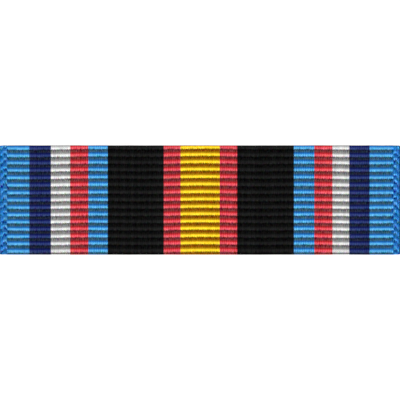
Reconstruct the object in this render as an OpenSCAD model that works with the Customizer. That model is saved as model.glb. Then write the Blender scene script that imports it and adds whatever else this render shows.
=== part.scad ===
// Ribbon bar: a striped, ribbed ribbon wound round a brass slide. The slide rides on a
// mounting bar with two posts, and a clutch behind the cloth holds each post.
// X runs along the bar, +Y is the upper fold, +Z is the ribbon's face, and the clutches
// stand on Z = 0. The origin is under the middle of the bar.

/* [Ribbon] */
// Width of the ribbon, which is the length of the bar
ribbon_w = 34.925; // [28:0.025:60]
// Height of the ribbon's face, from fold to fold
face_h = 9.525; // [9:0.025:14]
// Thickness of the ribbon over the crown of a rib
ribbon_t = 0.5; // [0.4:0.01:0.7]
// How far a rib stands above the grooves beside it
rib_rise = 0.13; // [0.06:0.01:0.16]
// Distance from one rib to the next
rib_pitch = 0.64; // [0.5:0.01:1]
// Distance from the upper fold to the first groove on the face
first_groove = 0.36; // [0.3:0.01:0.6]
// Radius of the rib that runs along each fold
fold_r = 0.2; // [0.17:0.01:0.35]
// Length of each ribbon end, tucked in behind a rail
tuck_l = 0.8; // [0.3:0.05:1]

/* [Slide] */
// Thickness of the slide's sheet
sheet_t = 0.4; // [0.3:0.01:0.5]
// Outer radius of the slide's bends
bend_r = 0.15; // [0.05:0.01:0.2]
// Width of each rail, which is bent in behind the face
rail_w = 1.7; // [1.2:0.05:2.2]
// How far the ribbon stands out past each end of the slide
slide_inset = 0.25; // [0.05:0.05:1]

/* [Mounting bar] */
// Thickness of the strip that lies in the slide
strip_t = 0.65; // [0.4:0.05:1]
// Gap between the strip's long edges and the slide
strip_gap = 0.1; // [0.05:0.01:0.3]
// How far the strip stops short of each end of the slide
strip_inset = 0.2; // [0:0.05:1]
// Radius of the strip's corners
strip_corner_r = 0.8; // [0.2:0.05:1.5]
// Diameter of a post
post_d = 1.05; // [0.8:0.05:1.4]
// Distance between the axes of the two posts
post_spacing = 19.05; // [11:0.05:22]
// Length of a post's point
point_l = 1; // [0.5:0.05:1.2]
// Diameter of a post's blunt tip
tip_d = 0.3; // [0.2:0.05:0.5]
// Diameter of the solder round the foot of a post
solder_d = 2; // [1.6:0.05:2.6]
// Height of the solder round the foot of a post
solder_h = 0.35; // [0.1:0.05:0.5]

/* [Clutches] */
// Height of a clutch
clutch_h = 3.6; // [3.2:0.1:5]
// Diameter of the flange that bears on the cloth
flange_d = 8.6; // [7:0.1:9]
// Thickness of the flange
flange_t = 0.7; // [0.5:0.05:1]
// Diameter of the cap that the clutch stands on
cap_d = 7.4; // [6.6:0.1:8.6]
// Thickness of the cap
cap_t = 1.3; // [1:0.05:1.6]
// Diameter of the waist between the cap and the flange
waist_d = 4.6; // [3:0.1:5.4]
// Radius of the rounded rims of the flange and the cap
rim_r = 0.3; // [0.1:0.05:0.35]
// Thickness of the cap behind the end of the bore
bore_floor = 0.5; // [0.3:0.05:0.8]

/* [Fit] */
// Room left for the cloth between the ribbon and the clutches
cloth_gap = 2.2; // [2.1:0.1:4]
// Gap between pieces that lie face to face
seat_gap = 0.05; // [0.03:0.01:0.1]
// Gap round a post in the bore of its clutch
bore_gap = 0.05; // [0.03:0.01:0.1]

/* [Hidden] */
$fn = 64;

sky = [0.2, 0.47, 0.68];
navy = [0.11, 0.15, 0.33];
pearl = [0.86, 0.86, 0.84];
red = [0.76, 0.22, 0.25];
black = [0.07, 0.07, 0.07];
crimson = [0.74, 0.2, 0.24];
yellow = [0.93, 0.7, 0.12];
brass = [0.8, 0.63, 0.3];
gilt = [0.86, 0.7, 0.36];

// Stripes from the left selvedge to the right one, as a share of the ribbon's width in
// hundredths, and colour
STRIPE_SHARE = 0;
STRIPE_COLOUR = 1;
stripes = [
    [7.25, sky], [5.4, navy], [4.85, pearl], [4.55, red], [4.85, sky],
    [13.95, black], [4.2, crimson], [9.9, yellow], [4.4, crimson], [14.05, black],
    [5.1, sky], [4.6, red], [4.3, pearl], [5, navy], [7.6, sky],
];

// Layers from the floor up
flat_t = ribbon_t - rib_rise;
back_z = clutch_h + cloth_gap;
rail_z = back_z + flat_t + seat_gap;
lip_z = rail_z + sheet_t / 2;
tuck_z = rail_z + sheet_t + seat_gap;
strip_z = tuck_z + flat_t + seat_gap;
plate_z = strip_z + strip_t + seat_gap;
groove_z = plate_z + sheet_t + seat_gap + flat_t;
face_z = groove_z + rib_rise;

// Half widths of the layers across the bar
fold_y = face_h / 2;
groove_y = fold_y - rib_rise;
slide_y = groove_y - flat_t - seat_gap;
channel_y = slide_y - sheet_t;
strip_y = channel_y - strip_gap;
lip_y = slide_y - rail_w;
lip_fold_r = sheet_t / 2 + seat_gap + flat_t;

// Lengths along the bar
slide_l = ribbon_w - 2 * slide_inset;
strip_l = slide_l - 2 * strip_inset;

// Ribs on the face, and ribs on the edge between a fold of the face and one of the back
face_ribs = floor((face_h - first_groove) / rib_pitch);
fold_reach = fold_r + sqrt(pow(fold_r, 2) - pow(fold_r - rib_rise, 2));
edge_run = face_z - back_z - 2 * fold_reach;
edge_ribs = max(1, round(edge_run / rib_pitch));
edge_pitch = edge_run / edge_ribs;

// Heights along a post and its bore
tip_z = bore_floor + bore_gap;
post_z = tip_z + point_l;
bore_r = post_d / 2 + bore_gap;
waist_h = clutch_h - flange_t - cap_t;

function sum_to(list, count) = count == 0 ? 0 : list[count - 1] + sum_to(list, count - 1);

// Edges of the stripes along X, on a fine step so that neighbours meet face to face
edge_step = 0.0001;
stripe_shares = [for (row = stripes) row[STRIPE_SHARE]];
stripe_unit = ribbon_w / sum_to(stripe_shares, len(stripes));
stripe_edges = [for (k = [0 : len(stripes)])
    round((stripe_unit * sum_to(stripe_shares, k) - ribbon_w / 2) / edge_step) * edge_step];

// A rectangle between two opposite corners, with round corners
module rounded(low, high, r) {
    size = high - low;
    translate(low + [r, 0]) square(size - [2 * r, 0]);
    translate(low + [0, r]) square(size - [0, 2 * r]);
    for (x = [low[0] + r, high[0] - r], y = [low[1] + r, high[1] - r])
        translate([x, y]) circle(r);
}

module both_sides() {
    children();
    mirror([1, 0]) children();
}

// One rib across a section: an arc over a root that reaches into the ribbon
module rib(pitch) {
    arc_r = (pow(pitch / 2, 2) + pow(rib_rise, 2)) / (2 * rib_rise);
    intersection() {
        translate([0, rib_rise - arc_r]) circle(arc_r);
        translate([-pitch / 2, -flat_t / 2]) square([pitch, flat_t]);
    }
}

module ribbon_outside() {
    translate([-groove_y, back_z + fold_r]) square([2 * groove_y, groove_z - back_z - fold_r]);
    translate([fold_r - fold_y, back_z]) square([2 * (fold_y - fold_r), fold_r]);
    for (k = [0 : face_ribs - 1])
        translate([fold_y - first_groove - (k + 0.5) * rib_pitch, groove_z]) rib(rib_pitch);
    both_sides() {
        for (z = [back_z + fold_r, face_z - fold_r]) translate([fold_y - fold_r, z]) circle(fold_r);
        for (k = [0 : edge_ribs - 1])
            translate([groove_y, back_z + fold_reach + (k + 0.5) * edge_pitch])
                rotate(-90) rib(edge_pitch);
    }
}

// The ribbon's end turns round a rail's lip and is tucked in behind it
module ribbon_end() {
    translate([lip_y, lip_z]) difference() {
        circle(lip_fold_r);
        circle(lip_fold_r - flat_t);
        translate([0, -lip_fold_r]) square(2 * lip_fold_r);
    }
    translate([lip_y, tuck_z]) square([tuck_l, flat_t]);
}

module ribbon_section() {
    difference() {
        ribbon_outside();
        rounded([-slide_y - seat_gap, rail_z - seat_gap],
                [slide_y + seat_gap, groove_z - flat_t], bend_r + seat_gap);
        translate([-lip_y, back_z - flat_t]) square([2 * lip_y, 3 * flat_t]);
    }
    both_sides() ribbon_end();
}

module slide_section() {
    difference() {
        rounded([-slide_y, rail_z], [slide_y, plate_z + sheet_t], bend_r);
        translate([-channel_y, rail_z + sheet_t])
            square([2 * channel_y, plate_z - rail_z - sheet_t]);
        translate([-lip_y, rail_z - sheet_t]) square([2 * lip_y, 3 * sheet_t]);
    }
}

// Stands a section up across the bar and draws it out along X
module along_bar(start, length) {
    translate([start, 0, 0]) rotate([90, 0, 90]) linear_extrude(length) children();
}

module ribbon() {
    for (k = [0 : len(stripes) - 1])
        color(stripes[k][STRIPE_COLOUR])
            along_bar(stripe_edges[k], stripe_edges[k + 1] - stripe_edges[k]) ribbon_section();
}

module slide() {
    color(brass) along_bar(-slide_l / 2, slide_l) slide_section();
}

// A post with its point down and its foot soldered into the strip
module post() {
    rotate_extrude() polygon([
        [0, tip_z], [tip_d / 2, tip_z], [post_d / 2, post_z],
        [post_d / 2, strip_z - solder_h], [solder_d / 2, strip_z],
        [solder_d / 2, strip_z + strip_t / 2], [0, strip_z + strip_t / 2],
    ]);
}

module mounting_bar() {
    color(brass) {
        translate([0, 0, strip_z]) linear_extrude(strip_t)
            rounded([-strip_l / 2, -strip_y], [strip_l / 2, strip_y], strip_corner_r);
        for (side = [-1, 1]) translate([side * post_spacing / 2, 0, 0]) post();
    }
}

// One half of a clutch's section, from the axis out
module clutch_section() {
    neck_r = waist_h / 2;
    difference() {
        union() {
            rounded([-cap_d / 2, 0], [cap_d / 2, cap_t], rim_r);
            rounded([-flange_d / 2, clutch_h - flange_t], [flange_d / 2, clutch_h], rim_r);
            translate([0, rim_r]) square([waist_d / 2 + neck_r, clutch_h - 2 * rim_r]);
        }
        translate([waist_d / 2 + neck_r, cap_t + neck_r]) circle(neck_r);
        translate([-flange_d, -1]) square([flange_d, clutch_h + 2]);
        translate([0, bore_floor]) square([bore_r, clutch_h]);
    }
}

module clutch(side) {
    color(gilt) translate([side * post_spacing / 2, 0, 0]) rotate_extrude() clutch_section();
}

ribbon();
slide();
mounting_bar();
clutch(-1);  // clutch_left
clutch(1);  // clutch_right
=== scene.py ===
import math
import bpy
import numpy as np
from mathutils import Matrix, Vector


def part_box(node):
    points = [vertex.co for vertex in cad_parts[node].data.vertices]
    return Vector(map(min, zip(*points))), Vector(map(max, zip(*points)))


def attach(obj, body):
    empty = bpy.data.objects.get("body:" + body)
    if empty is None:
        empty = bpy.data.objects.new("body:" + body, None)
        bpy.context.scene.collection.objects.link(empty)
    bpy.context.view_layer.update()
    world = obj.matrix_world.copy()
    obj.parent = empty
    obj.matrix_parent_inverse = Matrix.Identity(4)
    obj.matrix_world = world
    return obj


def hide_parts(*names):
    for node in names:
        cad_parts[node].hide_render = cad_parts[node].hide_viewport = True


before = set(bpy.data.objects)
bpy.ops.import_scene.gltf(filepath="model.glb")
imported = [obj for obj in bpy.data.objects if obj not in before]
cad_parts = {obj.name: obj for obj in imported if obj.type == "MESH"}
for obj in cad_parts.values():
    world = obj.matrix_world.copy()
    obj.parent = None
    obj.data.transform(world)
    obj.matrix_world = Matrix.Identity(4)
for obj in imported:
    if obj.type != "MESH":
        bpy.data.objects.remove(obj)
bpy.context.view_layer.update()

mm = 0.001
ribbonLow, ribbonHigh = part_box("ribbon")
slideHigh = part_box("slide")[1]
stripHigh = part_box("mounting_bar")[1]
halfLength = ribbonHigh.x
foldY = ribbonHigh.y
faceZ = ribbonHigh.z
backZ = ribbonLow.z
postPlace = 9.525 * mm    # from the middle of the bar to each post's axis


# The photograph's view: straight onto the face, which spans the picture from edge to edge

view = {
    "distance": 0.5,
    "sensor": 36.0,
    "pictureWidth": 400,           # pixels
    "barWidth": 401.9,             # pixels across the ribbon
    "barMiddle": (199.75, 200.0),  # pixel at the middle of the face
}


def makeCamera():
    across = 2 * halfLength * view["pictureWidth"] / view["barWidth"]    # width of the view at the face
    pixel = across / view["pictureWidth"]
    middle = view["pictureWidth"] / 2
    x = (middle - view["barMiddle"][0]) * pixel
    y = (view["barMiddle"][1] - middle) * pixel
    bpy.ops.object.camera_add(location=(x, y, faceZ + view["distance"]), rotation=(0, 0, 0))
    camera = bpy.context.object
    camera.name = "photo_camera"
    camera.data.sensor_width = view["sensor"]
    camera.data.lens = view["sensor"] * view["distance"] / across
    bpy.context.scene.camera = camera
    print("camera: lens", round(camera.data.lens), "mm")


def deselectAll():
    for item in list(bpy.context.selected_objects):
        item.select_set(False)


# The ribbon, wound round the slide

cloth = {
    "thickness": 0.37 * mm,       # below the ribs
    "ribRise": 0.14 * mm,
    "ribPitch": 0.64 * mm,
    "ribPower": 1.6,              # 2 is a parabola, less is sharper on top
    "firstGroove": 0.472 * mm,    # from the upper fold to the first groove of the face
    "faceFold": 0.06 * mm,        # radius over the ribs
    "backFold": 0.2 * mm,
    "innerFold": 0.2 * mm,
    "seatGap": 0.05 * mm,
    "sheet": 0.4 * mm,            # thickness of the slide's sheet
    "railWidth": 1.7 * mm,
    "tuck": 0.8 * mm,
    "backRelief": 0.35,           # ribs pressed flat behind the rails, as a share
    "foldStretch": 0.4,           # how much shallower the grooves are over the folds
    "foldReach": (0.45 * mm, 0.1 * mm),    # from where on, and from where fully
    "ribUneven": 0.1,             # how much one rib's height differs from the next
    "swell": 0.02,                # and swells along its length
    "swellSizes": (0.37 * mm, 0.83 * mm, 2.1 * mm),
    "countedRibs": 80,            # ribs with a height of their own
    "ribsBefore": 30,             # how many of them come before the face
    "bow": 0.085 * mm,            # the ribs bend up towards the middle of the face
    "bowWave": 0.25,              # this share of it as a wave, the rest as a parabola
    "waves": [                    # and wave: height, then length and crest as shares of half the face
        (0.0218 * mm, 0.5, -0.0191), (0.0124 * mm, 1.35135, 0.03011), (0.0086 * mm, 0.7, 0.256),
    ],
    "fan": 0.026 * mm,            # and lie closer together towards the selvedges
    "slack": 0.036 * mm,          # the ribs in the middle of the face lie this much lower
    "slackFrom": (3.4 * mm, 3.9 * mm),
    "slackTo": (5.6 * mm, 8.3 * mm),
    "drift": (0.006 * mm, 1.3 * mm),       # height and size of their smallest waves
    "beadShift": 0.54,            # the selvedge's beads lie between the ribs, as a share of a rib
    "rightShift": 0.05,           # a little more so on the right
    "beadDrift": 0.06,            # and wander a little
    "wander": (0.27 * mm, 0.15 * mm),      # in waves of these sizes
    "beadPower": 3.0,             # they are flatter on top than the ribs
    "beadLean": 0.5,              # and higher at their lower end
    "beadRise": (0.25, 0.85),     # shares of the ribs' rise: between the beads, and up to their crowns
    "beadUneven": 0.3,            # how much one bead's height differs from the next
    "beadsFrom": (0.74 * mm, 0.69 * mm),   # in from the edge, where ribs turn into beads
    "rimFrom": (0.41 * mm, 0.33 * mm),     # and beads into the rim
    "rimShift": 0.15,             # the same for the rim
    "rimRise": (0.5, 0.26),
    "loopOut": 0.015 * mm,        # how far the weft's loops stand out of the edge
    "offFace": 0.6,               # painted shade: brightness past the folds, on the ribbon's sides
    "offFaceFrom": -0.05 * mm,
    "lowerCrease": 0.6,           # and painted shade again along the lower fold
    "creaseFrom": (-0.09 * mm, -0.045 * mm),
    "creaseTo": (0.12 * mm, 0.03 * mm),
    "edgeRound": (0.15 * mm, 0.22 * mm),   # across the ribbon, and through its thickness
    "innerRound": 0.25,           # share of that on the inner side
    "selvedge": 0.66 * mm,
    "rightSelvedge": 0.87,        # width of the right selvedge as a share of the left one's
    "ribEnds": (0.7, 0.73, 0.78, 0.86, 0.97, 1.12),    # mm in from the edge, columns past the beads
    "bodyColumns": 84,
    "selvedgeColumns": 15,
    "columnCrowding": 1.5,        # more of them close to the edge
    "ribRows": 12,
    "sideRows": 0.75,             # share of that on the ribbon's sides
    "smoothAngle": 55,            # degrees, above which an edge stays sharp
    "seed": 4,
}

# Each in three tones of painted light and shade: where a rib starts at the upper groove, over its crown,
# and on its lower flank, which faces the light
stripeColours = {
    "sky": ((0.125, 0.366, 0.570), (0.0290, 0.290, 0.927), (0.078, 0.345, 0.635)),
    "navy": ((0.046, 0.066, 0.140), (0.0112, 0.0207, 0.187), (0.0206, 0.0352, 0.134)),
    "pearl": ((0.732, 0.739, 0.744), (0.744, 0.757, 0.768), (0.635, 0.643, 0.644)),
    "red": ((0.731, 0.113, 0.119), (0.944, 0.042, 0.0585), (0.640, 0.076, 0.098)),
    "black": ((0.0118, 0.0120, 0.0122), (0.0122, 0.0129, 0.0129), (0.0065, 0.0066, 0.0066)),
    "crimson": ((0.680, 0.103, 0.125), (1.000, 0.048, 0.0636), (0.624, 0.074, 0.0955)),
    "yellow": ((0.805, 0.238, 0.002), (0.947, 0.530, 0.0105), (0.896, 0.6045, 0.023)),
}
stripeTable = [    # share of the ribbon's width in hundredths, warp yarns, colour
    (7.6, 15, "sky"), (5.38, 10, "navy"), (4.82, 9, "pearl"), (4.49, 8, "red"), (4.86, 9, "sky"),
    (13.96, 26, "black"), (4.19, 8, "crimson"), (9.75, 18, "yellow"), (4.36, 8, "crimson"),
    (14.13, 26, "black"), (5.12, 9, "sky"), (4.53, 8, "red"), (4.15, 8, "pearl"), (5.1, 9, "navy"),
    (7.735, 15, "sky"),
]


def stripeEdges():    # along the ribbon's width in metres, and in warp yarns
    shares = np.cumsum([0] + [width for width, yarns, colour in stripeTable])
    shares /= shares[-1]
    return (2 * shares - 1) * halfLength, np.cumsum([0] + [yarns for width, yarns, colour in stripeTable])


def windingSections():
    c = cloth
    railZ = backZ + c["thickness"] + c["seatGap"]
    lipZ = railZ + c["sheet"] / 2
    slideY = slideHigh.y
    lipY = slideY - c["railWidth"]
    lipOuter = c["sheet"] / 2 + c["seatGap"] + c["thickness"]
    lipInner = lipOuter - c["thickness"]
    innerY = slideY + c["seatGap"]
    innerHeight = slideHigh.z + c["seatGap"] - (railZ - c["seatGap"])
    outerHeight = faceZ - backZ
    sideRows = round(outerHeight / c["ribPitch"] * c["ribRows"] * c["sideRows"])
    faceRows = round(2 * foldY / c["ribPitch"] * c["ribRows"])
    half = [    # name, turn in degrees, outer size, inner size, rows; a size is a length or a radius
        ("tuck", 0, c["tuck"], c["tuck"], 8),
        ("lip", 180, lipOuter, lipInner, 20),
        ("back", 0, foldY - c["backFold"] - lipY, innerY - c["innerFold"] - lipY, 14),
        ("backFold", 90, c["backFold"], c["innerFold"], 5),
        ("side", 0, outerHeight - c["backFold"] - c["faceFold"], innerHeight - 2 * c["innerFold"],
         sideRows),
        ("fold", 90, c["faceFold"], c["innerFold"], 8),
    ]
    face = [("face", 0, 2 * (foldY - c["faceFold"]), 2 * (innerY - c["innerFold"]), faceRows)]
    outerStart = (lipY + c["tuck"], lipZ + lipOuter)
    innerStart = (lipY + c["tuck"], lipZ + lipInner)
    return half + face + half[::-1], outerStart, innerStart


def walkPath(sections, start, size):    # rows of (y, z), their outward normals, run and section
    y, z = start
    heading = math.pi
    places, normals, runs, kinds = [(y, z)], [(0.0, 1.0)], [0.0], [sections[0][0]]
    for name, turn, outer, inner, rows in sections:
        length = (outer, inner)[size]
        turned = math.radians(turn)
        for row in range(1, rows + 1):
            share = row / rows
            if turn:
                angle = heading + turned * share
                centre = (y - math.sin(heading) * length, z + math.cos(heading) * length)
                spot = (centre[0] + math.sin(angle) * length, centre[1] - math.cos(angle) * length)
                run = 2 * length * share if turn == 90 else turned * length * share
            else:
                angle = heading
                spot = (y + math.cos(heading) * length * share, z + math.sin(heading) * length * share)
                run = length * share
            places.append(spot)
            normals.append((math.sin(angle), -math.cos(angle)))
            runs.append(run)
            kinds.append(name)
        y, z = places[-1]
        heading += turned
        runs[-rows:] = [runs[-rows - 1] + run for run in runs[-rows:]]
    return np.array(places), np.array(normals), np.array(runs), kinds


def columnPlaces():
    outer = cloth["selvedge"] * np.linspace(0, 1, cloth["selvedgeColumns"] + 1) ** cloth["columnCrowding"]
    insets = np.concatenate([outer, np.array(cloth["ribEnds"]) * mm])
    left = insets - halfLength
    right = halfLength - insets[::-1] * cloth["rightSelvedge"]
    body = np.linspace(left[-1], right[0], cloth["bodyColumns"] + 1)[1:-1]
    return np.concatenate([left, body, right])


def ribArc(share, power):    # height across one rib, 0 in the grooves and 1 on the crown
    return 1 - np.abs(2 * share - 1) ** power


def smooth(low, high, value):
    share = np.clip((value - low) / (high - low), 0, 1)
    return share * share * (3 - 2 * share)


def selvedgeZones(x):    # how far a point is in the band of beads, and in the smooth rim outside it
    inset = (halfLength - np.abs(x)) / np.where(x > 0, cloth["rightSelvedge"], 1)
    return smooth(*cloth["beadsFrom"], inset), smooth(*cloth["rimFrom"], inset)


def ribNumber(run, x):    # counts ribs down the face, whole numbers in the grooves
    c = cloth
    along = x / halfLength
    bow = c["bow"] * ((1 - c["bowWave"]) * (1 - along ** 2) + c["bowWave"] * np.cos(along * 3 * math.pi))
    for height, length, crest in c["waves"]:
        bow += height * np.cos(2 * math.pi * (along - crest) / length)
    bow += c["fan"] * along ** 2 * run / (2 * foldY)
    slack = c["slack"] * (smooth(*c["slackFrom"], run) - smooth(*c["slackTo"], run))
    driftHeight, driftSize = c["drift"]
    drift = driftHeight * np.sin(x / driftSize) - slack
    beads, rim = selvedgeZones(x)
    slow, fast = c["wander"]
    side = np.sign(x)
    wander = np.sin(run / slow + 2 * side) + np.sin(run / fast + side)
    beadShift = c["beadShift"] + c["beadDrift"] * wander + c["rightShift"] * (x > 0)
    shift = beadShift * beads + (c["rimShift"] - beadShift) * rim
    return (run + bow + drift - c["firstGroove"]) / c["ribPitch"] + shift


def clothRelief(number, x):    # share of the ribs' rise at each point, with the beaded selvedges
    c = cloth
    random = np.random.RandomState(c["seed"])
    count = c["countedRibs"]
    level = 1 - c["ribUneven"] * random.rand(count)
    waves = random.rand(count, 3) * 2 * math.pi
    rib = np.clip(np.floor(number).astype(int) + c["ribsBefore"], 0, count - 1)
    share = number - np.floor(number)
    swell = sum(np.sin(x / size + waves[rib, k]) for k, size in enumerate(c["swellSizes"]))
    arc = ribArc(share, c["ribPower"])
    relief = arc * (level[rib] + c["swell"] * swell)
    beads, rim = selvedgeZones(x)
    beadFoot, beadRise = c["beadRise"]
    rimFoot, rimRise = c["rimRise"]
    beadLevel = 1 - c["beadUneven"] * np.where(x > 0, waves[rib, 0], waves[rib, 1]) / (2 * math.pi)
    bead = ribArc(share, c["beadPower"]) * (1 - c["beadLean"] * (1 - share))
    relief += (beadFoot + beadRise * beadLevel * bead - relief) * beads
    relief += (rimFoot + rimRise * arc - relief) * rim
    return relief


def makeRibbon():
    c = cloth
    sections, outerStart, innerStart = windingSections()
    outer, normals, runs, kinds = walkPath(sections, outerStart, 0)
    inner = walkPath(sections, innerStart, 1)[0]
    columns = columnPlaces()
    rows = len(outer)
    foldRow = kinds.index("face")
    runs = runs - runs[foldRow - 1] + c["faceFold"]    # 0 at the upper fold

    deselectAll()
    bpy.ops.mesh.primitive_grid_add(x_subdivisions=len(columns) - 1, y_subdivisions=rows - 1, size=1)
    ribbon = bpy.context.object
    ribbon.name = "striped_ribbon"
    bpy.ops.object.mode_set(mode="EDIT")
    bpy.ops.mesh.select_all(action="SELECT")
    bpy.ops.mesh.extrude_region_move(TRANSFORM_OT_translate={"value": (0, 0, 1)})
    bpy.ops.object.mode_set(mode="OBJECT")

    # Every point of the flat grid moves to its row and column of the wound ribbon
    mesh = ribbon.data
    flat = np.empty(len(mesh.vertices) * 3)
    mesh.vertices.foreach_get("co", flat)
    flat = flat.reshape(-1, 3)
    column = np.rint((flat[:, 0] + 0.5) * (len(columns) - 1)).astype(int)
    row = np.rint((0.5 - flat[:, 1]) * (rows - 1)).astype(int)
    onFace = flat[:, 2] > 0.5

    x, run = columns[column], runs[row]
    number = ribNumber(run, x)
    relief = clothRelief(number, x)
    pressed = np.array([c["backRelief"] if kind in ("tuck", "lip", "back") else 1.0 for kind in kinds])
    fromFold = np.minimum(np.abs(runs), np.abs(runs - 2 * foldY))
    pressed *= 1 - c["foldStretch"] * smooth(*c["foldReach"], fromFold)
    sunk = c["ribRise"] * pressed[row] * (1 - relief)
    inset = halfLength - np.abs(x)
    roundAcross, roundDepth = c["edgeRound"]
    nearEdge = np.clip(1 - inset / roundAcross, 0, 1)
    rounding = roundDepth * (1 - np.sqrt(1 - nearEdge ** 2))
    yz = np.where(onFace[:, None], outer[row] - normals[row] * (sunk + rounding)[:, None],
                  inner[row] + normals[row] * rounding[:, None] * c["innerRound"])
    loopOut = c["loopOut"] * np.cos(number * 2 * math.pi) * (inset < roundAcross) * np.sign(x)
    places = np.column_stack([x + loopOut, yz])
    mesh.vertices.foreach_set("co", places.ravel())

    # Painted shade past the folds, on the sides, and along the lower fold
    below = runs - 2 * foldY
    crease = smooth(*c["creaseFrom"], below) * smooth(*c["creaseTo"], below)
    offFace = smooth(c["offFaceFrom"], 0.0, np.maximum(-runs, below))
    brightness = (1 - (1 - c["offFace"]) * offFace) * (1 - (1 - c["lowerCrease"]) * crease)
    paintedSideShade = mesh.attributes.new("paintedSideShade", "FLOAT", "POINT")
    paintedSideShade.data.foreach_set("value", brightness[row])

    weave = mesh.uv_layers.active
    weave.name = "weave"
    corners = np.empty(len(mesh.loops), dtype=np.int32)
    mesh.loops.foreach_get("vertex_index", corners)
    yarn = np.interp(x, *stripeEdges())
    weave.data.foreach_set("uv", np.column_stack([yarn, number])[corners].ravel())

    bpy.ops.object.mode_set(mode="EDIT")
    bpy.ops.mesh.select_all(action="SELECT")
    bpy.ops.mesh.normals_make_consistent(inside=False)
    bpy.ops.object.mode_set(mode="OBJECT")
    bpy.ops.object.shade_smooth_by_angle(angle=math.radians(c["smoothAngle"]))
    mesh.update()

    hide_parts("ribbon")
    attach(ribbon, "root")
    print("ribbon:", 2 * len(mesh.polygons), "triangles")
    return ribbon


# Small helpers for material nodes

def newMaterial(name):
    material = bpy.data.materials.new(name)
    material.use_nodes = True
    return material, material.node_tree, material.node_tree.nodes["Principled BSDF"]


def fill(tree, socket, value):    # a number or a tuple is set, an output is linked
    if isinstance(value, (int, float, tuple)):
        socket.default_value = value
    else:
        tree.links.new(value, socket)


def mathNode(tree, operation, *values):
    node = tree.nodes.new("ShaderNodeMath")
    node.operation = operation
    for socket, value in zip(node.inputs, values):
        fill(tree, socket, value)
    return node.outputs[0]


def times(tree, first, *others):
    for other in others:
        first = mathNode(tree, "MULTIPLY", first, other)
    return first


def plus(tree, first, second):
    return mathNode(tree, "ADD", first, second)


def minus(tree, first, second):
    return mathNode(tree, "SUBTRACT", first, second)


def rangeNode(tree, value, fromLow, fromHigh, toLow, toHigh):
    node = tree.nodes.new("ShaderNodeMapRange")
    node.interpolation_type = "SMOOTHSTEP"
    fill(tree, node.inputs["Value"], value)
    fill(tree, node.inputs["From Min"], fromLow)
    fill(tree, node.inputs["From Max"], fromHigh)
    fill(tree, node.inputs["To Min"], toLow)
    fill(tree, node.inputs["To Max"], toHigh)
    return node.outputs["Result"]


def bandNode(tree, value, riseFrom, riseTo, fallFrom, fallTo, height=1):    # 0 outside the band
    risen = rangeNode(tree, value, riseFrom, riseTo, 0, height)
    return times(tree, risen, rangeNode(tree, value, fallFrom, fallTo, 1, 0))


def mixColours(tree, blend, share, first, second):
    node = tree.nodes.new("ShaderNodeMix")
    node.data_type = "RGBA"
    node.blend_type = blend
    fill(tree, node.inputs[0], share)
    fill(tree, node.inputs[6], first)
    fill(tree, node.inputs[7], second)
    return node.outputs[2]


def combineNode(tree, *values):
    node = tree.nodes.new("ShaderNodeCombineXYZ")
    for socket, value in zip(node.inputs, values):
        fill(tree, socket, value)
    return node.outputs[0]


def splitNode(tree, vector):
    node = tree.nodes.new("ShaderNodeSeparateXYZ")
    fill(tree, node.inputs[0], vector)
    return node.outputs["X"], node.outputs["Y"], node.outputs["Z"]


def noiseNode(tree, vector, scale, detail):
    node = tree.nodes.new("ShaderNodeTexNoise")
    fill(tree, node.inputs["Vector"], vector)
    fill(tree, node.inputs["Scale"], scale)
    fill(tree, node.inputs["Detail"], detail)
    return node.outputs["Fac"]


def bumpNormal(tree, shader, height, strength, distance):
    bump = tree.nodes.new("ShaderNodeBump")
    fill(tree, bump.inputs["Strength"], strength)
    fill(tree, bump.inputs["Distance"], distance)
    fill(tree, bump.inputs["Height"], height)
    fill(tree, shader.inputs["Normal"], bump.outputs["Normal"])


# The ribbon's cloth: warp yarns over the ribs, with dark grooves between them

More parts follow.
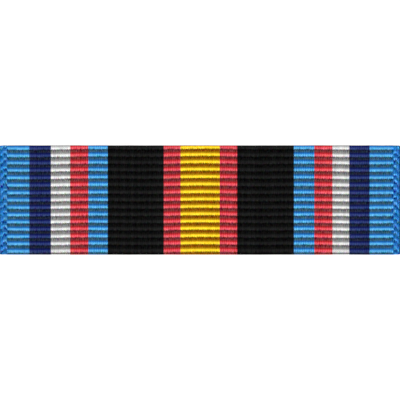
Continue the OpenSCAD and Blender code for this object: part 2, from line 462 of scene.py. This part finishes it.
weaveLook = {
    "zigzag": 0.1,               # how far a float's middle reaches into a groove, as a share of a rib
    "crownFrom": (0.18, 0.38),   # shares of a rib over which its painted light and shade changes
    "flankFrom": (0.45, 0.66),
    "selvedgeFrom": (5.2, 3.8),  # yarns in from the edge
    "selvedgeFlank": 0.8,        # less of the lower flank's colour in the selvedges
    "rimFrom": (3.6, 2.0),
    "rimCrown": 0.45,            # how far their rims take the crown's colour
    "tone": (0.95, 1.07),        # brightness of single floats
    "yarnTone": 0.075,           # and how far whole yarns differ
    "hueNoise": (0.6, 2.4),      # unevenness of the dye: patches a yarn, and a rib
    "greyNoise": (1.15, 2.9),
    "mottle": (0.2, 0.45),       # how strong it is in a dark colour and in a light one
    "mottleLight": (0, 0.12),    # the lightness of those two
    "mottleHue": 0.5,            # how far it changes the hue too
    "grooveTo": (0.12, 0.38),    # shares of a rib from its end over which a groove turns into a crown
    "mottleZones": (2.4, 0.36),  # more of the unevenness in the grooves, less over the crowns
    "selvedgeMottle": 1.9,       # and more again in the selvedges
    "swing": 0.55,               # power that makes a step of tone even in dark and light colours
    "teeth": (0.05, 0.29),       # painted light and shade: how much lighter a float's middle is than its gaps, in a dark and a light colour
    "teethLight": (0, 0.075),
    "teethZones": (0.3, 1),      # less in the grooves than over the crowns
    "teethMiddle": 0.64,         # a float's mean height
    "paleTeeth": 0.33,           # a share of that in a pale colour
    "paleLight": (0.32, 0.6),
    "closeTeeth": 0.22,          # or in the outer stripes, where the floats lie closer
    "gap": 0.4,                  # painted shade: brightness between floats and at their ends
    "gapTo": (0.1, 1.9),
    "gapEnd": 8,                 # how sharply a float rises at its end
    "gapSide": 1.5,              # and at its sides
    "paintedEdgeShade": 0.4,           # painted shade: brightness of the outermost yarn
    "edgeShadeFrom": (0.9, 0.65),
    "rightBeads": 0.12,          # the right selvedge's beads are this much brighter
    "beadSpark": 0.4,            # painted highlight: how much brighter a bead's lit spot is
    "beadDim": 0.17,             # and painted shade: how much darker the bead is round it
    # Bands rise over their first two numbers and fall over their last two
    "rightBand": (4.9, 4.2, 2.3, 1.5),       # yarns in from the edge
    "beadBand": (4.4, 3.8, 2.4, 1.6),
    "sparkBand": (0.58, 0.66, 0.76, 0.84),   # shares of a bead
    "dimBand": (0.3, 0.4, 0.92, 0.98),
    "darkest": (0.001, 0.001, 0.001),
    "yarnHeight": 0.024 * mm,
    "plyTurns": 3,               # twists of a yarn's plies over one rib
    "plyHeight": 0.18,           # as a share of the yarn's
    "roughness": (0.75, 0.88),
    "specular": 0.06,
    "sheen": 0.01,
    "sheenRoughness": 0.4,
}
rampSteps = 256    # a colour ramp holds so many, and one step is one yarn


def stripeRamp(tree, yarn, shade):
    ramp = tree.nodes.new("ShaderNodeValToRGB")
    ramp.color_ramp.interpolation = "CONSTANT"
    stops = ramp.color_ramp.elements
    for index, ((width, yarns, colour), edge) in enumerate(zip(stripeTable, stripeEdges()[1])):
        position = max(0, edge - 0.5) / rampSteps
        stop = stops[index] if index < 2 else stops.new(position)
        stop.position = position
        stop.color = (*stripeColours[colour][shade], 1)
    place = mathNode(tree, "DIVIDE", plus(tree, yarn, 0.25), rampSteps - 1)
    fill(tree, ramp.inputs["Fac"], place)
    return ramp.outputs["Color"]


def whiteNoise(tree, dimensions, socket, value):
    node = tree.nodes.new("ShaderNodeTexWhiteNoise")
    node.noise_dimensions = dimensions
    fill(tree, node.inputs[socket], value)
    return node.outputs["Value"]


def vectorNode(tree, operation, first, second):
    node = tree.nodes.new("ShaderNodeVectorMath")
    node.operation = operation
    fill(tree, node.inputs[0], first)
    fill(tree, node.inputs["Scale" if operation == "SCALE" else 1], second)
    return node.outputs["Vector"]


def ribArcNode(tree, share):
    away = mathNode(tree, "ABSOLUTE", minus(tree, times(tree, share, 2), 1))
    return minus(tree, 1, mathNode(tree, "POWER", away, cloth["ribPower"]))


def ribbonMaterial():
    material, tree, shader = newMaterial("ribbed striped ribbon")
    look = weaveLook
    weave = tree.nodes.new("ShaderNodeUVMap")
    weave.uv_map = "weave"
    across, along = splitNode(tree, weave.outputs["UV"])[:2]
    allYarns = float(stripeEdges()[1][-1])
    fromMiddle = mathNode(tree, "ABSOLUTE", minus(tree, across, allYarns / 2))
    fromEdge = minus(tree, allYarns / 2, fromMiddle)
    fromRight = minus(tree, allYarns, across)

    # The rounded ends of the floats meet in a zigzag along each groove
    groove = mathNode(tree, "ROUND", along)
    halfYarn = minus(tree, times(tree, minus(tree, groove, 1), 0.5), 0.25)
    wave = mathNode(tree, "PINGPONG", plus(tree, across, halfYarn), 0.5)
    point = minus(tree, times(tree, wave, 4), 1)
    fromGroove = mathNode(tree, "ABSOLUTE", minus(tree, along, groove))
    reach = rangeNode(tree, fromGroove, 0, 0.5, look["zigzag"], 0)
    bent = minus(tree, along, times(tree, point, reach))

    # Floats of neighbouring ribs lie half a yarn apart
    rib = mathNode(tree, "FLOOR", bent)
    share = mathNode(tree, "FRACT", bent)
    toEnd = minus(tree, 0.5, mathNode(tree, "ABSOLUTE", minus(tree, share, 0.5)))
    oddRib = mathNode(tree, "FRACT", times(tree, rib, 0.5))
    shifted = minus(tree, plus(tree, across, oddRib), 0.25)
    wholeYarn = mathNode(tree, "FLOOR", across)

    # Painted light and shade: three tones of the stripe's colour over a rib, and the selvedges less of
    # them
    litAndShadedTones = [stripeRamp(tree, wholeYarn, shade) for shade in range(3)]
    inSelvedge = rangeNode(tree, fromEdge, *look["selvedgeFrom"], 0, 1)
    ontoCrown = mathNode(tree, "MAXIMUM", inSelvedge, rangeNode(tree, share, *look["crownFrom"], 0, 1))
    ontoFlank = times(tree, rangeNode(tree, share, *look["flankFrom"], 0, 1),
                      rangeNode(tree, inSelvedge, 0, 1, 1, look["selvedgeFlank"]))
    stripeWithPaintedShade = mixColours(tree, "MIX", ontoCrown, litAndShadedTones[0], litAndShadedTones[1])
    stripeWithPaintedShade = mixColours(tree, "MIX", ontoFlank, stripeWithPaintedShade, litAndShadedTones[2])
    rimShare = rangeNode(tree, fromEdge, *look["rimFrom"], 0, look["rimCrown"])
    stripeWithPaintedShade = mixColours(tree, "MIX", rimShare, stripeWithPaintedShade, litAndShadedTones[1])
    lightNode = tree.nodes.new("ShaderNodeRGBToBW")
    fill(tree, lightNode.inputs[0], stripeWithPaintedShade)
    lightness = lightNode.outputs[0]
    sideShadeNode = tree.nodes.new("ShaderNodeAttribute")
    sideShadeNode.attribute_name = "paintedSideShade"
    paintedSideShade = sideShadeNode.outputs["Fac"]

    # Each float has its own tone, and the dye is uneven
    floatPlace = combineNode(tree, mathNode(tree, "FLOOR", shifted), rib)
    floatNoise = whiteNoise(tree, "2D", "Vector", floatPlace)
    tone = rangeNode(tree, floatNoise, 0, 1, *look["tone"])
    yarnNoise = whiteNoise(tree, "1D", "W", wholeYarn)
    yarnTone = times(tree, minus(tree, yarnNoise, 0.5), look["yarnTone"])

    def clothNoise(acrossScale, alongScale):
        node = tree.nodes.new("ShaderNodeTexNoise")
        node.noise_dimensions = "2D"
        node.inputs["Scale"].default_value = 1
        node.inputs["Detail"].default_value = 1
        place = combineNode(tree, times(tree, across, acrossScale), times(tree, bent, alongScale))
        fill(tree, node.inputs["Vector"], place)
        return node.outputs

    hue = vectorNode(tree, "SUBTRACT", clothNoise(*look["hueNoise"])["Color"], (0.5, 0.5, 0.5))
    grey = minus(tree, clothNoise(*look["greyNoise"])["Fac"], 0.5)
    mottle = vectorNode(tree, "ADD", vectorNode(tree, "SCALE", hue, look["mottleHue"]), grey)
    strength = times(tree, rangeNode(tree, lightness, *look["mottleLight"], *look["mottle"]),
                     rangeNode(tree, toEnd, *look["grooveTo"], *look["mottleZones"]),
                     paintedSideShade, rangeNode(tree, inSelvedge, 0, 1, 1, look["selvedgeMottle"]))
    swing = vectorNode(tree, "POWER", stripeWithPaintedShade, (look["swing"],) * 3)
    spread = vectorNode(tree, "MULTIPLY", swing, mottle)
    mottled = vectorNode(tree, "ADD", stripeWithPaintedShade, vectorNode(tree, "SCALE", spread, strength))

    # A float is rounded across, with painted shade in the gaps beside it and at its ends, and painted
    # light over its middle
    roundYarn = mathNode(tree, "SINE", times(tree, mathNode(tree, "FRACT", shifted), math.pi))
    cover = plus(tree, times(tree, toEnd, look["gapEnd"]), times(tree, roundYarn, look["gapSide"]))
    paintedGapShade = rangeNode(tree, cover, *look["gapTo"], look["gap"], 1)
    outerYarns = stripeTable[0][1]
    # Painted light and shade: a float's middle lighter than its gaps
    contrast = times(tree, rangeNode(tree, lightness, *look["teethLight"], *look["teeth"]),
                     rangeNode(tree, lightness, *look["paleLight"], 1, look["paleTeeth"]),
                     rangeNode(tree, fromEdge, outerYarns + 1, outerYarns - 1, 1, look["closeTeeth"]),
                     rangeNode(tree, toEnd, *look["grooveTo"], *look["teethZones"]))
    teeth = times(tree, minus(tree, roundYarn, look["teethMiddle"]), contrast)
    step = vectorNode(tree, "SCALE", swing, plus(tree, teeth, yarnTone))
    toothed = vectorNode(tree, "ADD", mottled, step)

    # Painted highlight and shade on the selvedges' beads, and painted shade at the edge and on the sides
    edgeShade = rangeNode(tree, fromEdge, *look["edgeShadeFrom"], 1, look["paintedEdgeShade"])
    rightTone = plus(tree, 1, bandNode(tree, fromRight, *look["rightBand"], look["rightBeads"]))
    # Painted highlight on each bead's lit spot, and painted shade round it
    paintedBeadHighlight = bandNode(tree, share, *look["sparkBand"], look["beadSpark"])
    paintedBeadShade = bandNode(tree, share, *look["dimBand"], look["beadDim"])
    onBeads = bandNode(tree, fromEdge, *look["beadBand"])
    beadTone = plus(tree, 1, times(tree, onBeads, minus(tree, paintedBeadHighlight, paintedBeadShade)))
    brightness = times(tree, tone, edgeShade, paintedSideShade, rightTone, beadTone, paintedGapShade)
    shaded = vectorNode(tree, "SCALE", toothed, brightness)
    fill(tree, shader.inputs["Base Color"], vectorNode(tree, "MAXIMUM", shaded, look["darkest"]))

    # Its bump has the yarn's round, its plies, and the zigzag where it leaves the rib's own shape
    turn = 2 * math.pi
    twist = plus(tree, times(tree, shifted, turn), times(tree, along, turn * look["plyTurns"]))
    height = plus(tree, roundYarn, times(tree, mathNode(tree, "SINE", twist), look["plyHeight"]))
    ends = minus(tree, ribArcNode(tree, share), ribArcNode(tree, mathNode(tree, "FRACT", along)))
    height = plus(tree, height, times(tree, ends, cloth["ribRise"] / look["yarnHeight"]))
    bumpNormal(tree, shader, height, 1, look["yarnHeight"])
    fill(tree, shader.inputs["Roughness"], rangeNode(tree, floatNoise, 0, 1, *look["roughness"]))
    shader.inputs["Specular IOR Level"].default_value = look["specular"]
    shader.inputs["Sheen Weight"].default_value = look["sheen"]
    shader.inputs["Sheen Roughness"].default_value = look["sheenRoughness"]
    return material


# Effects that the brass pieces share

metalWear = {
    "cloudDetail": 5,
    "fineScale": 7,               # small spots to one cloud
    "fineDetail": 3,
    "cloudShares": (0.7, 0.3),    # of clouds and of small spots
    "cloudFrom": (0.4, 0.62),
    "spotFrom": (0.62, 0.7),
    "spotDepth": 0.7,
    "roughness": (0.36, 0.62),    # of clean and of dull metal
    "markDetail": 4,
    "markFrom": (0.3, 0.7),
    "markTone": (0.88, 1.08),
    "markBump": 0.5,
    "scratchScale": 0.37,
    "scratchDetail": 2,
    "scratchFrom": (0.6, 0.66),
    "scratchDepth": 0.5,
    "edgeScale": 1400,            # patches of wear per metre
    "edgeDetail": 4,
    "edgeFrom": (0.3, 0.7),
    "edgeLeast": 0.2,             # share of the wear's width that is always worn
    "edgeFade": (0.3, 1),
    "wornSmooth": 0.08,
}


def newGroup(name, inputs, outputs):
    tree = bpy.data.node_groups.new(name, "ShaderNodeTree")
    for label, kind in outputs:
        tree.interface.new_socket(name=label, in_out="OUTPUT", socket_type="NodeSocket" + kind)
    for label, kind in inputs:
        tree.interface.new_socket(name=label, in_out="INPUT", socket_type="NodeSocket" + kind)
    start = tree.nodes.new("NodeGroupInput").outputs
    end = tree.nodes.new("NodeGroupOutput").inputs
    return tree, start, end


def tarnishGroup():    # clouds of dull metal with small dark spots
    wear = metalWear
    tree, start, end = newGroup(
        "tarnish", [("Vector", "Vector"), ("Clean", "Color"), ("Dull", "Color"), ("Amount", "Float"),
                    ("Scale", "Float")],
        [("Colour", "Color"), ("Roughness", "Float")])
    cloudShare, fineShare = wear["cloudShares"]
    clouds = noiseNode(tree, start["Vector"], start["Scale"], wear["cloudDetail"])
    fineScale = times(tree, start["Scale"], wear["fineScale"])
    fine = noiseNode(tree, start["Vector"], fineScale, wear["fineDetail"])
    blend = plus(tree, times(tree, clouds, cloudShare), times(tree, fine, fineShare))
    cloudy = rangeNode(tree, blend, *wear["cloudFrom"], 0, 1)
    spots = rangeNode(tree, fine, *wear["spotFrom"], 0, wear["spotDepth"])
    dullness = times(tree, mathNode(tree, "MAXIMUM", cloudy, spots), start["Amount"])
    fill(tree, end["Colour"], mixColours(tree, "MIX", dullness, start["Clean"], start["Dull"]))
    fill(tree, end["Roughness"], rangeNode(tree, dullness, 0, 1, *wear["roughness"]))
    return tree


def linesGroup():    # fine tool marks along one direction, with some deeper scratches
    wear = metalWear
    tree, start, end = newGroup(
        "tool marks", [("Vector", "Vector")], [("Height", "Float"), ("Tone", "Float")])
    marks = noiseNode(tree, start["Vector"], 1, wear["markDetail"])
    coarse = noiseNode(tree, start["Vector"], wear["scratchScale"], wear["scratchDetail"])
    scratches = rangeNode(tree, coarse, *wear["scratchFrom"], 0, 1)
    fill(tree, end["Height"], minus(tree, marks, times(tree, scratches, wear["scratchDepth"])))
    fill(tree, end["Tone"], rangeNode(tree, marks, *wear["markFrom"], *wear["markTone"]))
    return tree


def edgeWearGroup():    # bright, smooth metal where edges rub; Distance is that from the edge
    wear = metalWear
    tree, start, end = newGroup(
        "edge wear", [("Vector", "Vector"), ("Distance", "Float"), ("Width", "Float")],
        [("Worn", "Float")])
    patches = noiseNode(tree, start["Vector"], wear["edgeScale"], wear["edgeDetail"])
    uneven = rangeNode(tree, patches, *wear["edgeFrom"], wear["edgeLeast"], 1)
    reach = mathNode(tree, "DIVIDE", start["Distance"], times(tree, start["Width"], uneven))
    fill(tree, end["Worn"], rangeNode(tree, reach, *wear["edgeFade"], 1, 0))
    return tree


sharedEffects = {"tarnish": tarnishGroup(), "lines": linesGroup(), "edgeWear": edgeWearGroup()}


def placeGroup(tree, name, **values):
    node = tree.nodes.new("ShaderNodeGroup")
    node.node_tree = sharedEffects[name]
    for label, value in values.items():
        fill(tree, node.inputs[label], value)
    return node.outputs


def startMetal(name, look):    # a new material, places on the object, and the aged metal's outputs
    material, tree, shader = newMaterial(name)
    place = tree.nodes.new("ShaderNodeTexCoord").outputs["Object"]
    aged = placeGroup(tree, "tarnish", Vector=place, Clean=(*look["clean"], 1), Dull=(*look["dull"], 1),
                      Amount=look["amount"], Scale=look["cloudScale"])
    return material, tree, shader, place, aged


def rolledPlace(tree, place, look):    # stretched along the way that the metal was rolled
    mapping = tree.nodes.new("ShaderNodeMapping")
    mapping.inputs["Scale"].default_value = look["marks"]
    fill(tree, mapping.inputs["Vector"], place)
    return mapping.outputs[0]


def markMetal(tree, aged, markPlace):    # the colour and the height with tool marks
    marks = placeGroup(tree, "lines", Vector=markPlace)
    return mixColours(tree, "MULTIPLY", 1.0, aged["Colour"], marks["Tone"]), marks["Height"]


def fromAxis(tree, x, y):    # distance from the nearer post's axis
    along = minus(tree, mathNode(tree, "ABSOLUTE", x), postPlace)
    return mathNode(tree, "SQRT", plus(tree, times(tree, along, along), times(tree, y, y)))


def finishMetal(tree, shader, look, place, colour, roughness, height, fromEdge):
    worn = placeGroup(tree, "edgeWear", Vector=place, Distance=fromEdge, Width=look["edgeWidth"])["Worn"]
    fill(tree, shader.inputs["Base Color"], mixColours(tree, "MIX", worn, colour, (*look["worn"], 1)))
    smoother = times(tree, worn, metalWear["wornSmooth"])
    fill(tree, shader.inputs["Roughness"], minus(tree, roughness, smoother))
    bumpNormal(tree, shader, height, metalWear["markBump"], look["markDepth"])
    shader.inputs["Metallic"].default_value = 1


# The slide: rolled brass sheet, with sheared ends

slideLook = {
    "clean": (0.76, 0.52, 0.20),
    "dull": (0.38, 0.23, 0.08),
    "worn": (0.84, 0.63, 0.30),
    "amount": 0.75,               # of tarnish
    "cloudScale": 260.0,          # clouds per metre
    "marks": (120, 9000, 9000),   # tool marks per metre along each axis
    "markDepth": 0.006 * mm,
    "edgeWidth": 0.3 * mm,
}


def slideMaterial():
    look = slideLook
    material, tree, shader, place, aged = startMetal("rolled brass sheet", look)
    x = splitNode(tree, place)[0]
    toned, height = markMetal(tree, aged, rolledPlace(tree, place, look))
    fromEnd = minus(tree, slideHigh.x, mathNode(tree, "ABSOLUTE", x))
    finishMetal(tree, shader, look, place, toned, aged["Roughness"], height, fromEnd)
    return material


# The mounting bar: rolled brass strip, with two posts soldered in

barLook = {
    "clean": (0.77, 0.54, 0.22),
    "dull": (0.37, 0.22, 0.08),
    "worn": (0.85, 0.65, 0.33),
    "flux": (0.20, 0.11, 0.05),       # burnt round the solder
    "solder": (0.60, 0.60, 0.58),
    "post": (0.80, 0.61, 0.31),
    "amount": 0.6,
    "cloudScale": 320.0,
    "marks": (140, 7500, 7500),
    "markDepth": 0.006 * mm,
    "edgeWidth": 0.35 * mm,
    "thickness": 0.65 * mm,           # of the strip
    "solderRadius": 1.0 * mm,
    "solderFade": 0.08 * mm,
    "solderHeight": 0.35 * mm,
    "postFade": (0.1 * mm, 0.02 * mm),     # below and above the solder's height
    "underFade": (0.05 * mm, 0.3 * mm),    # above the strip's lower side
    "ragged": 0.7 * mm,               # how uneven the solder's edge is
    "raggedScale": 1100,
    "raggedDetail": 4,
    "fluxRadius": 2.3 * mm,
    "fluxStrength": 0.85,
    "fluxRough": 0.2,
    "ringsPerMetre": 14000,           # tool marks round the posts
}


def barMaterial():
    look = barLook
    material, tree, shader, place, aged = startMetal("soldered brass bar", look)
    x, y, z = splitNode(tree, place)
    noise = noiseNode(tree, place, look["raggedScale"], look["raggedDetail"])
    edge = plus(tree, fromAxis(tree, x, y), times(tree, minus(tree, noise, 0.5), look["ragged"]))
    footZ = stripHigh.z - look["thickness"]
    solderZ = footZ - look["solderHeight"]
    radius = look["solderRadius"]
    postLow, postHigh = look["postFade"]
    underLow, underHigh = look["underFade"]
    onSolder = rangeNode(tree, edge, radius, radius + look["solderFade"], 1, 0)
    onPost = rangeNode(tree, z, solderZ - postLow, solderZ + postHigh, 1, 0)
    underneath = rangeNode(tree, z, footZ + underLow, footZ + underHigh, 1, 0)
    burnt = rangeNode(tree, edge, radius, look["fluxRadius"], look["fluxStrength"], 0)
    burnt = times(tree, burnt, underneath)

    toned, height = markMetal(tree, aged, rolledPlace(tree, place, look))
    toned = mixColours(tree, "MIX", burnt, toned, (*look["flux"], 1))
    toned = mixColours(tree, "MIX", times(tree, onSolder, underneath), toned, (*look["solder"], 1))
    rings = placeGroup(tree, "lines", Vector=combineNode(tree, times(tree, z, look["ringsPerMetre"])))
    postTone = mixColours(tree, "MULTIPLY", 1.0, (*look["post"], 1), rings["Tone"])
    toned = mixColours(tree, "MIX", onPost, toned, postTone)

    fromEnd = minus(tree, stripHigh.x, mathNode(tree, "ABSOLUTE", x))
    fromSide = minus(tree, stripHigh.y, mathNode(tree, "ABSOLUTE", y))
    fromEdge = mathNode(tree, "MINIMUM", fromEnd, fromSide)
    roughness = plus(tree, aged["Roughness"], times(tree, burnt, look["fluxRough"]))
    finishMetal(tree, shader, look, place, toned, roughness, height, fromEdge)
    return material


# The clutches: turned brass, gilt

clutchLook = {
    "clean": (0.84, 0.57, 0.20),
    "dull": (0.48, 0.28, 0.08),
    "worn": (0.88, 0.67, 0.33),
    "grime": (0.16, 0.10, 0.05),
    "amount": 0.45,
    "cloudScale": 420.0,
    "ringsPerMetre": 11000,
    "markDepth": 0.008 * mm,
    "edgeWidth": 0.22 * mm,
    "capRadius": 3.7 * mm,
    "capHeight": 1.3 * mm,
    "flangeRadius": 4.3 * mm,
    "flangeFoot": 2.9 * mm,
    "flangeFrom": (2.0 * mm, 2.2 * mm),    # heights between the cap's rim and the flange's
    "waistRadius": 2.3 * mm,
    "waistFade": 0.25 * mm,
    "grimeLeast": 0.1,                # at the cap's rim
    "grimeScale": 900,
    "grimeDetail": 4,
    "grimeFrom": (0.3, 0.65),
    "grimePatches": (0.35, 1),
    "grimeStrength": 0.75,
    "grimeRough": 0.25,
}


def clutchMaterial():
    look = clutchLook
    material, tree, shader, place, aged = startMetal("turned gilt brass", look)
    x, y, z = splitNode(tree, place)
    radius = fromAxis(tree, x, y)
    perMetre = look["ringsPerMetre"]
    ringPlace = combineNode(tree, times(tree, radius, perMetre), times(tree, z, perMetre))
    toned, height = markMetal(tree, aged, ringPlace)

    # Grime in the waist, and none on the cap's and the flange's flat faces
    low, high, fade = look["capHeight"], look["flangeFoot"], look["waistFade"]
    inWaist = bandNode(tree, z, low, low + fade, high - fade, high)
    deep = rangeNode(tree, radius, look["waistRadius"], look["capRadius"], 1, look["grimeLeast"])
    noise = noiseNode(tree, place, look["grimeScale"], look["grimeDetail"])
    patchy = rangeNode(tree, noise, *look["grimeFrom"], *look["grimePatches"])
    grime = times(tree, inWaist, deep, patchy, look["grimeStrength"])
    toned = mixColours(tree, "MIX", grime, toned, (*look["grime"], 1))

    onFlange = rangeNode(tree, z, *look["flangeFrom"], 0, look["flangeRadius"] - look["capRadius"])
    fromRim = minus(tree, plus(tree, onFlange, look["capRadius"]), radius)
    roughness = plus(tree, aged["Roughness"], times(tree, grime, look["grimeRough"]))
    finishMetal(tree, shader, look, place, toned, roughness, height, fromRim)
    return material


# Floor and lights

studio = {
    "floorSize": 1.6,
    "floorDrop": 0.01 * mm,       # below the clutches, so that the two never share a plane
    "floorColour": (0.2, 0.2, 0.2),
    "floorRoughness": 0.9,
    "floorGlow": 0.95,
    "worldColour": (1.0, 0.98, 0.96),
    "worldStrength": 0.39,
    "keyElevation": 12,           # degrees, from the lower edge of the face
    "keyTurn": -6,                # degrees towards the left
    "keyDistance": 0.5,
    "keySize": (0.12, 0.12),
    "keyLevel": 2.15,             # brightness of a white surface that faces the light
}


def makeKey():    # shines onto the middle of the face
    turn, elevation = math.radians(studio["keyTurn"]), math.radians(studio["keyElevation"])
    distance = studio["keyDistance"]
    level = math.cos(elevation) * distance
    place = (math.sin(turn) * level, -math.cos(turn) * level, faceZ + math.sin(elevation) * distance)
    aim = (math.radians(90) - elevation, 0, turn)
    bpy.ops.object.light_add(type="AREA", location=place, rotation=aim)
    key = bpy.context.object
    key.name = "key"
    key.data.shape = "RECTANGLE"
    key.data.size, key.data.size_y = studio["keySize"]
    key.data.energy = studio["keyLevel"] * math.pi ** 2 * distance ** 2


def makeStudio():
    s = studio
    deselectAll()
    bpy.ops.mesh.primitive_plane_add(size=s["floorSize"], location=(0, 0, -s["floorDrop"]))
    floor = bpy.context.object
    floor.name = "floor"
    material, tree, shader = newMaterial("pale floor")
    shader.inputs["Base Color"].default_value = (*s["floorColour"], 1)
    shader.inputs["Roughness"].default_value = s["floorRoughness"]
    shader.inputs["Emission Color"].default_value = (1, 1, 1, 1)
    shader.inputs["Emission Strength"].default_value = s["floorGlow"]
    floor.data.materials.append(material)
    world = bpy.data.worlds.new("studio")
    bpy.context.scene.world = world
    world.use_nodes = True
    background = world.node_tree.nodes["Background"].inputs
    background["Color"].default_value = (*s["worldColour"], 1)
    background["Strength"].default_value = s["worldStrength"]
    makeKey()
    bpy.context.scene.view_settings.view_transform = "Standard"
    print("studio: floor, world and key light")


makeCamera()
ribbon = makeRibbon()
ribbon.data.materials.clear()
ribbon.data.materials.append(ribbonMaterial())
gilt = clutchMaterial()
finishes = {"slide": slideMaterial(), "mounting_bar": barMaterial(),
            "clutch_left": gilt, "clutch_right": gilt}
for name, finish in finishes.items():
    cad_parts[name].data.materials[0] = finish
print("fittings: materials on the slide, the bar and the clutches")
makeStudio()
